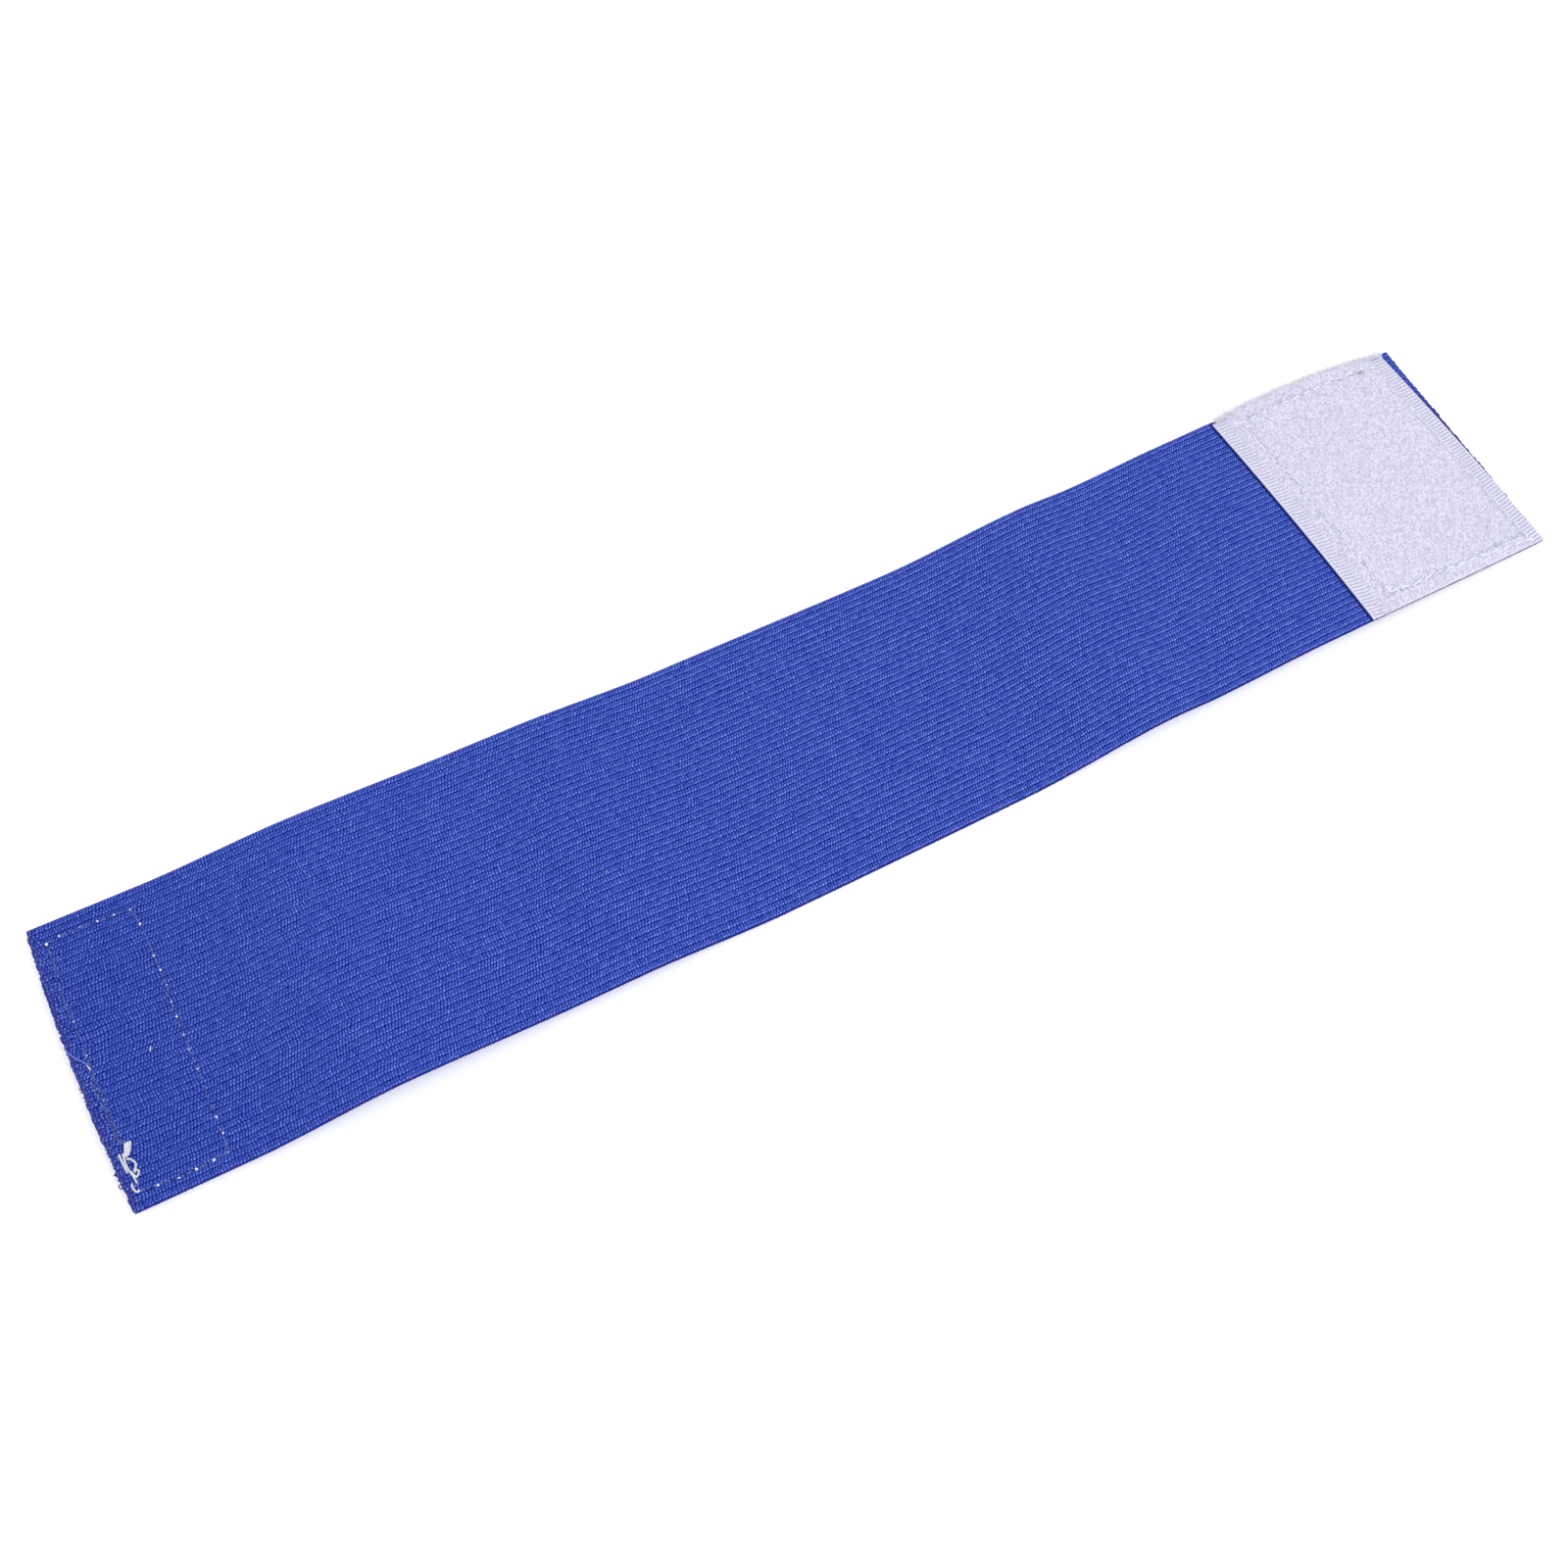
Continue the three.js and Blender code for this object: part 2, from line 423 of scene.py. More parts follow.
# painted shade: the band is a little darker over the first 60 mm from the cut end
colour = tree.tint(0.14 * (1 - x.rise(0.0, 60.0)), colour, BLUE_DEEP)
colour = tree.tint(0.8 * tape_edge_shadow, colour, BLUE_EDGE_SHADOW)
colour = tree.tint(below_tape, colour, BLUE_SHADE)
colour = tree.tint(0.3 * ends.most(0.4 * sides), colour, BLUE_WORN)
bump = tree.node("ShaderNodeBump", {}, {"Strength": 0.6, "Distance": 0.00012, "Height": tone})
coat(
    tree,
    Base_Color=colour,
    Roughness=0.85 - 0.12 * painted_glints,
    Normal=bump,
    Specular_IOR_Level=0.05,
    Sheen_Weight=0.02,
    Sheen_Roughness=0.45,
)
print("ribs every", round(RIB_PITCH, 3), "mm, weft every", WEFT_PITCH, "mm")

# %% [markdown]
# ## Growing pieces from a tree
# Geometry Nodes make what follows a rule. A tree has named sizes, and growing a piece
# sets them by their identifiers on a modifier, reads the evaluated mesh once and throws
# the modifier away. What is left is a plain mesh, and it is laid down like all the rest.


# %% Helpers that grow a piece and lay it down
def geometry_tree(name, **sizes):
    """A new geometry tree and a wire for each named size."""
    group = bpy.data.node_groups.new(name, "GeometryNodeTree")
    group.interface.new_socket("Geometry", in_out="INPUT", socket_type="NodeSocketGeometry")
    kinds = {int: "Int", float: "Float", tuple: "Vector", type(None): "Material"}
    for label, value in sizes.items():
        kind = "NodeSocket" + kinds[type(value)]
        socket = group.interface.new_socket(label, in_out="INPUT", socket_type=kind)
        if value is not None:
            socket.default_value = value
    group.interface.new_socket("Geometry", in_out="OUTPUT", socket_type="NodeSocketGeometry")
    made = Tree(group)
    base = made.node("NodeGroupInput", {}, {})
    return made, base, {label: base.out(label) for label in sizes}


def end_tree(tree, geometry, finish):
    """Makes instances real, gives them their finish, and ends the tree."""
    real = tree.node("GeometryNodeRealizeInstances", {}, {"Geometry": geometry})
    painted = tree.node("GeometryNodeSetMaterial", {}, {"Geometry": real, "Material": finish})
    tree.node("NodeGroupOutput", {}, {"Geometry": painted})


def new_piece(name, mesh):
    piece = bpy.data.objects.new(name, mesh)
    scene.collection.objects.link(piece)
    return piece


def grow(name, tree, base, place=None, sharp=None, **sizes):
    """Runs a tree on a base mesh, and lays the plain mesh that comes out."""
    holder = new_piece(name + "_base", base)
    modifier = holder.modifiers.new("grow", "NODES")
    modifier.node_group = tree.nodes
    for item in tree.nodes.interface.items_tree:
        if item.in_out == "INPUT" and item.name in sizes:
            modifier[item.identifier] = sizes.pop(item.name)
    if sizes:
        raise ValueError(f"{name}: no such sizes: {sorted(sizes)}")
    evaluated = holder.evaluated_get(bpy.context.evaluated_depsgraph_get())
    mesh = bpy.data.meshes.new_from_object(evaluated)
    bpy.data.objects.remove(holder)
    return lay_down(new_piece(name, mesh), place, sharp)


def lay_down(piece, place=None, sharp=None):
    mesh = piece.data
    flat = np.zeros(len(mesh.vertices) * 3, np.float32)
    mesh.vertices.foreach_get("co", flat)
    if "flat" not in mesh.attributes:
        mesh.attributes.new("flat", "FLOAT_VECTOR", "POINT").data.foreach_set("vector", flat)
    flat = flat.reshape(-1, 3).astype(float)
    mesh.vertices.foreach_set("co", lay(place(flat) if place else flat).ravel())
    made = bmesh.new()
    made.from_mesh(mesh)
    bmesh.ops.recalc_face_normals(made, faces=made.faces)
    made.to_mesh(mesh)
    made.free()
    mesh.shade_smooth()
    if sharp:
        mesh.set_sharp_from_angle(angle=math.radians(sharp))
    triangles = sum(len(face.vertices) - 2 for face in mesh.polygons)
    print(piece.name, triangles, "triangles")
    return piece


def nothing():
    return bpy.data.meshes.new("nothing")


def remembered(tree, geometry):
    """Keeps each point's place on the flat cloth, for its finish to read."""
    place = tree.node("GeometryNodeInputPosition", {}, {})
    settings = {"data_type": "FLOAT_VECTOR", "domain": "POINT"}
    sockets = {"Geometry": geometry, "Name": "flat", "Value": place}
    return tree.node("GeometryNodeStoreNamedAttribute", settings, sockets)


def slab(tree, length, width, steps_x, steps_y, thickness, corner):
    """A closed slab of even squares, and the parts of its points' places."""
    sockets = {
        "Size X": length,
        "Size Y": width,
        "Vertices X": steps_x + 1,
        "Vertices Y": steps_y + 1,
    }
    grid = tree.node("GeometryNodeMeshGrid", {}, sockets)
    lower = tree.node("GeometryNodeSetPosition", {}, {"Geometry": grid, "Offset": corner})
    sockets = {"Mesh": lower, "Offset Scale": thickness, "Individual": False, "Offset": (0, 0, 1)}
    upper = tree.node("GeometryNodeExtrudeMesh", {}, sockets)
    both = tree.node("GeometryNodeJoinGeometry", {}, {"Geometry": [lower, upper]})
    sockets = {"Geometry": both, "Distance": 0.001}
    closed = tree.node("GeometryNodeMergeByDistance", {}, sockets)
    return closed, tree.node("GeometryNodeInputPosition", {}, {}).parts()


def moved(tree, geometry, x, y, z):
    sockets = {"Geometry": geometry, "Offset": tree.vector(x, y, z)}
    return tree.node("GeometryNodeSetPosition", {}, sockets)


print("ready to grow pieces")

# %% [markdown]
# ## The elastic band
# The band is one closed slab of small squares. The tree rounds its upper and lower face
# into ribs, so the grooves are real and catch the light from any side. Where the band
# was cut, each rib ends a little sooner or later than the next, as cut cords do, and the
# end at the loop tape is drawn in a little.

# %% Grow the elastic band
RIB_DEPTH = 0.12
STATIONS = 180
COLUMNS_A_RIB = 6

tree, base, size = geometry_tree(
    "ribbed elastic",
    Length=BAND_LENGTH,
    Width=BAND_WIDTH,
    Thickness=BAND_THICKNESS,
    Ribs=RIBS,
    Columns=COLUMNS_A_RIB,
    Stations=STATIONS,
    Depth=RIB_DEPTH,
    Gather=0.45,
    Ragged=0.35,
    Drawn_in=0.3,
    Wander=0.22,
    Finish=None,
)
middle = tree.vector(size["Length"] / 2, 0.0, 0.0)
shell, (x, y, z) = slab(
    tree,
    size["Length"],
    size["Width"],
    size["Stations"],
    size["Ribs"] * size["Columns"],
    size["Thickness"],
    middle,
)
rib_number = (y + size["Width"] / 2) * size["Ribs"] / size["Width"]
from_top = 2 * rib_number.fraction() - 1
gather = size["Gather"] * from_top * (1 - from_top * from_top) / 2
shell = moved(tree, shell, 0.0, gather * size["Width"] / size["Ribs"], 0.0)
shell = remembered(tree, shell)
steep = from_top * from_top
steep = steep * steep * steep * steep
crown = (1 - steep).most(0.0).root()
upper = z.rise(size["Thickness"] * 0.4, size["Thickness"] * 0.6)
round_off = (1 - crown) * size["Depth"] * (1 - 2 * upper)
at_left = 1 - x.rise(0.0, 0.5)
at_right = (x - size["Length"]).rise(-0.5, 0.0)
ragged = size["Ragged"] * crown * (0.2 + tree.chance(rib_number.floor(), at_right))
inside = (size["Width"] / 2 - y.size()).rise(0.0, 2.0)
wander = size["Wander"] * inside * (tree.noise(tree.vector(x, y, 0.0), 0.12) - 0.5)
drawn_in = size["Drawn_in"] * at_right
ribbed = moved(tree, shell, ragged * (at_right - at_left) - drawn_in, wander, round_off)
end_tree(tree, ribbed, size["Finish"])
woven_elastic = grow("woven_elastic", tree, nothing(), bulged, Finish=elastic_finish)

# %% [markdown]
# ## Bent strands
# Stitches, hooks, pile and loose fibres are all the same thing: a short piece of thread
# or wire, bent along one curve, and repeated. One tree sets such strands along a path,
# turned to follow it, and a second one scatters them over a field. A seed keeps every
# draw the same, run after run.


# %% Trees for strands along a path and strands over a field
STRAND = dict(
    Start=(0.0, 0.0, 0.0),
    Start_bend=(0.0, 0.0, 1.0),
    End_bend=(1.0, 0.0, 1.0),
    End=(1.0, 0.0, 0.0),
    Thickness=0.3,
    Steps=6,
    Sides=5,
    Turn=(0.0, 0.0, 0.0),
    Spread=0.1,
    Seed=1,
    Finish=None,
)


def bent_strand(tree, size):
    sockets = {
        "Resolution": size["Steps"],
        "Start": size["Start"],
        "Start Handle": size["Start_bend"],
        "End Handle": size["End_bend"],
        "End": size["End"],
    }
    bend = tree.node("GeometryNodeCurvePrimitiveBezierSegment", {"mode": "POSITION"}, sockets)
    sockets = {"Resolution": size["Sides"], "Radius": size["Thickness"] / 2}
    ring = tree.node("GeometryNodeCurvePrimitiveCircle", {"mode": "RADIUS"}, sockets)
    sockets = {"Curve": bend, "Profile Curve": ring, "Fill Caps": True}
    return tree.node("GeometryNodeCurveToMesh", {}, sockets)


def draw(tree, kind, low, high, seed):
    """A random vector or number for each point."""
    settings = {"data_type": kind}
    first = 0 if kind == "FLOAT_VECTOR" else 2
    return tree.node(
        "FunctionNodeRandomValue",
        settings,
        {first: low, first + 1: high, "Seed": seed},
        first // 2,
    )


def set_strands(tree, size, points, heading):
    """Strands on points, each turned from its heading by a random part of Turn."""
    back = tree.node(
        "ShaderNodeVectorMath", {"operation": "SCALE"}, {0: size["Turn"], "Scale": -1.0}
    )
    turn = draw(tree, "FLOAT_VECTOR", back, size["Turn"], size["Seed"])
    turn = tree.node("FunctionNodeEulerToRotation", {}, {"Euler": turn})
    settings = {"rotation_space": "LOCAL"}
    turn = tree.node(
        "FunctionNodeRotateRotation", settings, {"Rotation": heading, "Rotate By": turn}
    )
    scale = draw(tree, "FLOAT", 1 - size["Spread"], 1 + size["Spread"], size["Seed"] + 7)
    sockets = {
        "Points": points,
        "Instance": bent_strand(tree, size),
        "Rotation": turn,
        "Scale": tree.vector(scale, scale, scale),
    }
    strands = tree.node("GeometryNodeInstanceOnPoints", {}, sockets)
    tone = draw(tree, "FLOAT", 0.0, 1.0, size["Seed"] + 11)
    settings = {"data_type": "FLOAT", "domain": "INSTANCE"}
    sockets = {"Geometry": strands, "Name": "tone", "Value": tone}
    end_tree(tree, tree.node("GeometryNodeStoreNamedAttribute", settings, sockets), size["Finish"])


path_tree, base, size = geometry_tree("strands along a path", Pitch=1.0, **STRAND)
curve = path_tree.node("GeometryNodeMeshToCurve", {}, {"Mesh": base})
sockets = {"Curve": curve, "Length": size["Pitch"]}
curve = path_tree.node("GeometryNodeResampleCurve", {"mode": "LENGTH"}, sockets)
tangent = path_tree.node("GeometryNodeInputTangent", {}, {})
along = path_tree.node("FunctionNodeAlignRotationToVector", {"axis": "X"}, {"Vector": tangent})
set_strands(path_tree, size, curve, along)

field_tree, base, size = geometry_tree("strands over a field", Density=1.0, **STRAND)
sockets = {"Mesh": base, "Density": size["Density"], "Seed": size["Seed"]}
points = field_tree.node("GeometryNodeDistributePointsOnFaces", {}, sockets)
upright = field_tree.node("FunctionNodeEulerToRotation", {}, {})
set_strands(field_tree, size, points, upright)


def path_mesh(*paths):
    """Chains of edges through lists of points, one chain for each list."""
    points = []
    edges = []
    for path in paths:
        edges += [(len(points) + k, len(points) + k + 1) for k in range(len(path) - 1)]
        points += path
    mesh = bpy.data.meshes.new("path")
    mesh.from_pydata(points, edges, [])
    return mesh


def sheet_mesh(left, right, near, far, height, steps=12):
    """A level patch of cloth for strands to grow on."""
    xs = np.linspace(left, right, steps + 1)
    ys = np.linspace(near, far, steps + 1)
    points = [(float(x), float(y), height) for y in ys for x in xs]
    wide = steps + 1
    corners = [i * wide + j for i in range(steps) for j in range(steps)]
    mesh = bpy.data.meshes.new("field")
    mesh.from_pydata(points, [], [(k, k + 1, k + 1 + wide, k + wide) for k in corners])
    return mesh


print("two trees for strands")

# %% [markdown]
# ## Edges of the elastic
# On both long edges each weft thread turns back into the cloth, which gives the edge its
# fine, even teeth. They are half loops, a weft's pitch apart. Along the two cut ends the
# rubber cords and their yarn stick out a little, and they are short, uneven stubs.

# %% Grow the weft's turns and the cut yarns
EDGE_INSET = 0.12
EDGE_HEIGHT = 0.36
EDGE_START = 0.4
EDGE_STOP = BAND_LENGTH - EDGE_START
near_side = -BAND_WIDTH / 2 + EDGE_INSET
far_side = BAND_WIDTH / 2 - EDGE_INSET
edge_turns = grow(
    "edge_turns",
    path_tree,
    path_mesh(
        [(EDGE_START, near_side, EDGE_HEIGHT), (EDGE_STOP, near_side, EDGE_HEIGHT)],
        [(EDGE_STOP, far_side, EDGE_HEIGHT), (EDGE_START, far_side, EDGE_HEIGHT)],
    ),
    bulged,
    Pitch=WEFT_PITCH,
    Start=(0.0, 0.05, 0.02),
    Start_bend=(0.05, -0.3, 0.05),
    End_bend=(0.15, -0.3, 0.45),
    End=(0.2, 0.05, 0.5),
    Thickness=0.3,
    Steps=4,
    Turn=(0.1, 0.1, 0.12),
    Spread=0.12,
    Finish=elastic_finish,
)
rib_middles = [-BAND_WIDTH / 2 + RIB_PITCH * (rib + 0.5) for rib in range(RIBS)]
STUB_HEIGHTS = (0.42, 0.8)
stub_rows = []
for along, ribs in [(0.25, rib_middles), (BAND_LENGTH - 0.5, rib_middles[::-1])]:
    for height in STUB_HEIGHTS:
        stub_rows.append([(along, ribs[0], height), (along, ribs[-1], height)])
cut_yarns = grow(
    "cut_yarns",
    path_tree,
    path_mesh(*stub_rows),
    bulged,
    Pitch=RIB_PITCH / 3,
    Start=(0.0, -0.1, 0.0),
    Start_bend=(0.0, 0.25, 0.0),
    End_bend=(0.1, 0.45, -0.05),
    End=(0.15, 0.5, -0.1),
    Thickness=0.26,
    Steps=4,
    Turn=(0.35, 0.5, 0.7),
    Spread=0.3,
    Seed=4,
    Finish=elastic_finish,
)

# %% [markdown]
# ## The finish of the tapes
# Hook tape and loop tape are white nylon, and the photograph's light makes them faintly
# lilac. The loop tape's pile reads as fine, curly mottling that leans to one side, partly
# its own uneven tone and partly painted shade and light among its loops. Both long
# borders are plain weave, with small ribs across the edge, painted shade in the hollows
# between the ribs and a thin painted highlight along the outer edge. The weave's rows bow
# slightly, so the ribs slant the other way in the other border. On the loop tape the
# finish paints shade into the needle's holes as dark pricks, and adds one grey speck near
# the seam's far corner.

# %% Mix the finish of the tapes
TAPE_WHITE = shade(214, 213, 234)
TAPE_LIGHT = shade(238, 237, 253)
TAPE_SHADE = shade(184, 182, 208)
TAPE_HOLLOW_SHADE = shade(160, 158, 190)
TAPE_PRICK_SHADE = shade(112, 112, 142)
TAPE_BORDER_IN = 4.6
TAPE_BORDER_OUT = 4.2
BORDER_RIB = 0.87
ROW_BOW = 0.0036
# needle holes, each painted as a dark spot of shade: place on the band and radius
NEEDLE_PRICKS = [
    (288.98, 26.28, 0.22),
    (300.22, 26.76, 0.3),
    (308.1, 27.1, 0.22),
    (323.03, -6.3, 0.26),
    (321.91, -29.0, 0.26),
    (315.9, -28.4, 0.22),
    (286.29, -26.71, 0.24),
    (295.7, -27.2, 0.18),
    (283.38, -12.84, 0.16),
    (323.9, -12.9, 0.16),
    (320.0, 26.4, 0.2),
    (321.7, 25.7, 0.24),
]
GREY_SPECK = (318.1, 26.3, 1.5)


def on_the_tape(x, y):
    """A point of the band, as the loop tape's own coordinates have it."""
    along = x + TAPE_SKEW * y - TAPE_SIDE_BOW * (1 - (2 * y / BAND_WIDTH) ** 2) - TAPE_LEFT
    across = along / (TAPE_WIDTH / 2) - 1
    up = (y + BAND_WIDTH / 2 + TAPE_OVERHANG) / TAPE_LENGTH
    return along, up * (TAPE_LENGTH - TAPE_FAR_BULGE * (1 - across**2))


def spots(tree, x, y, places):
    """1 in the middle of each place, 0 beyond its radius."""
    found = None
    for along, across, radius in places:
        u, v = on_the_tape(along, across)
        far = ((x - u) * (x - u) + (y - v) * (y - v)).root()
        spot = 1 - far.rise(0.25 * radius, radius)
        found = spot if found is None else found.most(spot)
    return found


def pricks_shade_and_speck(tree, x, y, colour):
    """Painted shade in the needle's holes as dark pricks, and the one grey speck, over any colour
    of the tape.
    """
    colour = tree.tint(0.85 * spots(tree, x, y, NEEDLE_PRICKS), colour, TAPE_PRICK_SHADE)
    return tree.tint(0.65 * spots(tree, x, y, [GREY_SPECK]), colour, shade(168, 168, 180))


def tape_finish(name, width, border_in, border_out, bow, with_pricks_and_speck):
    material, tree = new_finish(name)
    flat = tree.kept("flat", "Vector")
    x, y, z = flat.parts()
    combed = tree.vector(0.45 * x + 0.6 * y, 1.1 * x - 0.85 * y, z)
    curls = tree.noise(combed, 1.7, 3.0, 1.0)
    clouds = tree.noise(flat, 0.5)
    cells = tree.node("ShaderNodeTexVoronoi", {}, {"Vector": flat, "Scale": 3.1})
    field = x.rise(0.5 * border_in, border_in) * (width - x).rise(0.75 * border_out, border_out)
    hem = x.rise(0.12, 0.35) * (width - x).rise(0.05, 0.2)
    off_middle = x - width / 2
    row = (y - bow * off_middle * off_middle) / BORDER_RIB
    ribs = (row + 0.35 * clouds).wave()
    # painted shade in the hollows between the border's ribs
    between = (1 - ribs).rise(0.55, 0.98) * (1 - field) * hem * (0.45 + 1.2 * (curls - 0.2))
    # partly painted shade and light: the pile's mottling and darker cells are its uneven tone and
    # the shade and light among its loops
    colour = tree.tint(curls.rise(0.38, 0.62), TAPE_SHADE, TAPE_LIGHT)
    colour = tree.tint(0.55 - 0.45 * field + 0.2 * clouds, colour, TAPE_WHITE)
    colour = tree.tint(0.3 * field * cells.rise(0.2, 0.55), colour, TAPE_SHADE)
    colour = tree.tint(0.12 * field * ribs, colour, TAPE_LIGHT)
    colour = tree.tint(between, colour, TAPE_HOLLOW_SHADE)
    # painted highlight: a thin light line along both outer long edges
    colour = tree.tint(0.6 * (1 - hem), colour, TAPE_LIGHT)
    if with_pricks_and_speck:
        colour = pricks_shade_and_speck(tree, x, y, colour)
    relief = 0.9 * curls - 0.4 * between
    bump = tree.node("ShaderNodeBump", {}, {"Strength": 0.7, "Distance": 0.0001, "Height": relief})
    coat(
        tree,
        Base_Color=colour,
        Roughness=0.9 - 0.1 * curls,
        Normal=bump,
        Specular_IOR_Level=0.3,
        Sheen_Weight=0.15,
        Sheen_Roughness=0.4,
    )
    return material


loop_finish = tape_finish(
    "loop tape", TAPE_WIDTH, TAPE_BORDER_IN, TAPE_BORDER_OUT, ROW_BOW, True
)
print("needle pricks", len(NEEDLE_PRICKS))

# %% [markdown]
# ## Woven tape
# Both tapes are flat slabs with a woven border on each side. The tree raises the middle
# into a low field, roughens it with a nap, ribs the borders and sinks a furrow along the
# seam, where the stitches pull the pile down. The hook tape is the same tree with other
# sizes.

# %% Grow the loop tape
LOOP_BOTTOM = BAND_THICKNESS + SEAM_GAP
LOOP_BASE = 0.4
LOOP_PILE = 1.1
SLAB_EDGE = 60
HOOK_TAPE_WIDTH = 20.0
HOOK_TAPE_LENGTH = 57.0
HOOK_INSET = 0.5
HOOK_BASE = 0.6
HOOK_BORDER = 2.0

tape_tree, base, size = geometry_tree(
    "woven tape",
    Width=TAPE_WIDTH,
    Length=TAPE_LENGTH,
    Steps_across=96,
    Steps_along=336,
    Corner=(0.0, 0.0, 0.0),
    Thickness=LOOP_BASE,
    Pile=LOOP_PILE,
    Border_in=TAPE_BORDER_IN,
    Border_out=TAPE_BORDER_OUT,
    Border_rib=BORDER_RIB,
    Row_bow=ROW_BOW,
    Rib_height=0.06,
    Nap=0.3,
    Furrow=0.2,
    Seam_low=(6.3, 3.2, 0.0),
    Seam_high=(46.7, 56.2, 0.0),
    Finish=None,
)
middle = tape_tree.vector(size["Width"] / 2, size["Length"] / 2, 0.0)
middle = tape_tree.node(
    "ShaderNodeVectorMath", {"operation": "ADD"}, {0: middle, 1: size["Corner"]}
)
shell, (x, y, z) = slab(
    tape_tree,
    size["Width"],
    size["Length"],
    size["Steps_across"],
    size["Steps_along"],
    size["Thickness"],
    middle,
)
shell = remembered(tape_tree, shell)
corner_x, corner_y, corner_z = size["Corner"].parts()
u = x - corner_x
v = y - corner_y
upper = (z - corner_z).rise(size["Thickness"] * 0.4, size["Thickness"] * 0.6)
field = u.rise(size["Border_in"] - 2.4, size["Border_in"] + 1.6)
field = field * (size["Width"] - u).rise(size["Border_out"] - 1.6, size["Border_out"] + 1.6)
nap = tape_tree.noise(tape_tree.vector(u, v, 0.0), 1.3, 3.0) - 0.5
border = u.rise(0.0, 0.4) * (size["Width"] - u).rise(0.0, 0.3)
off_middle = u - size["Width"] / 2
row = (v - size["Row_bow"] * off_middle * off_middle) / size["Border_rib"]
ribs = row.wave() * border * (1 - field)
low_x, low_y, unused = size["Seam_low"].parts()
high_x, high_y, unused = size["Seam_high"].parts()
off_x = (u - (low_x + high_x) / 2).size() - (high_x - low_x) / 2
off_y = (v - (low_y + high_y) / 2).size() - (high_y - low_y) / 2
furrow = 1 - off_x.most(off_y).size().rise(0.1, 0.7)
rise = (size["Pile"] + size["Nap"] * nap) * field + size["Rib_height"] * ribs
rise = (rise - size["Furrow"] * furrow * (0.4 + 0.6 * field)) * upper
end_tree(tape_tree, moved(tape_tree, shell, 0.0, 0.0, rise), size["Finish"])
loop_tape = grow(
    "loop_tape",
    tape_tree,
    nothing(),
    on_the_band,
    sharp=SLAB_EDGE,
    Corner=(0.0, 0.0, LOOP_BOTTOM),
    Finish=loop_finish,
)

# %% [markdown]
# ## Pile
# Loop pile is thousands of fine nylon loops that lie in every direction. A strand that
# bends up and over, with both its ends in the tape, is enough for each of them. They are
# scattered over the field at random, in slightly different sizes, and stop at the woven
# borders. The tape was cut across at both ends, so its fibres are loose there, and at the
# far end they make a soft halo.

# %% Grow the pile and the loose fibres
pile_finish, tree = new_finish("pile fibres")
tone = tree.kept("tone", "Fac")
flat = tree.kept("flat", "Vector")
x, y, z = flat.parts()
fibre_colour = pricks_shade_and_speck(tree, x, y, tree.tint(tone, TAPE_WHITE, shade(240, 239, 254)))
coat(tree, Base_Color=fibre_colour, Roughness=0.75, Specular_IOR_Level=0.3)
fuzz_finish, tree = new_finish("loose fibres")
tone = tree.kept("tone", "Fac")
fuzz_colour = tree.tint(tone, shade(240, 240, 252), shade(252, 252, 255))
coat(tree, Base_Color=fuzz_colour, Roughness=0.7, Sheen_Weight=0.3)
PILE_TOP = LOOP_BOTTOM + LOOP_BASE + LOOP_PILE
pile_loops = grow(
    "pile_loops",
    field_tree,
    sheet_mesh(5.6, TAPE_WIDTH - 4.4, 0.4, TAPE_LENGTH - 0.3, PILE_TOP - 0.16),
    on_the_band,
    Density=4.0,
    Start=(-0.3, -0.1, 0.0),
    Start_bend=(-0.34, 0.2, 0.24),
    End_bend=(0.3, 0.24, 0.24),
    End=(0.3, -0.12, 0.0),
    Thickness=0.09,
    Steps=3,
    Sides=3,
    Turn=(0.6, 0.6, math.pi),
    Spread=0.35,
    Seed=3,
    Finish=pile_finish,
)
far_edge = [(float(x), TAPE_LENGTH - 0.3, PILE_TOP - 0.6) for x in np.linspace(0.6, 50.9, 24)]
near_edge = [(x, 0.25, height) for x, y, height in far_edge[::-1]]
edge_fibres = grow(
    "edge_fibres",
    path_tree,
    path_mesh(
        far_edge,
        [(x, y, height + 0.35) for x, y, height in far_edge],
        [(x, y, height - 0.5) for x, y, height in far_edge],
        [(x, y - 0.35, height + 0.5) for x, y, height in far_edge],
    ),
    on_the_band,
    Pitch=0.1,
    Start=(0.0, -0.2, 0.0),
    Start_bend=(0.1, 0.5, 0.25),
    End_bend=(-0.25, 0.85, 0.3),
    End=(0.15, 1.2, 0.05),
    Thickness=0.055,
    Steps=5,
    Sides=3,
    Turn=(0.6, 0.7, 0.9),
    Spread=0.4,
    Seed=9,
    Finish=fuzz_finish,
)
near_fibres = grow(
    "near_edge_fibres",
    path_tree,
    path_mesh(near_edge),
    on_the_band,
    Pitch=0.5,
    Start=(0.0, -0.1, -0.1),
    Start_bend=(0.0, 0.2, 0.1),
    End_bend=(0.1, 0.35, 0.1),
    End=(0.2, 0.45, -0.1),
    Thickness=0.09,
    Steps=4,
    Sides=3,
    Turn=(0.5, 0.5, 0.9),
    Spread=0.4,
    Seed=12,
    Finish=fuzz_finish,
)

# %% [markdown]
# ## Hook tape
# The hook tape is sewn under the cut end, so it is seen only from below. It is plain woven
# nylon with rows of small stiff hooks, each a bent wire whose tip points along its row,
# one way in one row and the other way in the next. The cut end stands on the hooks.

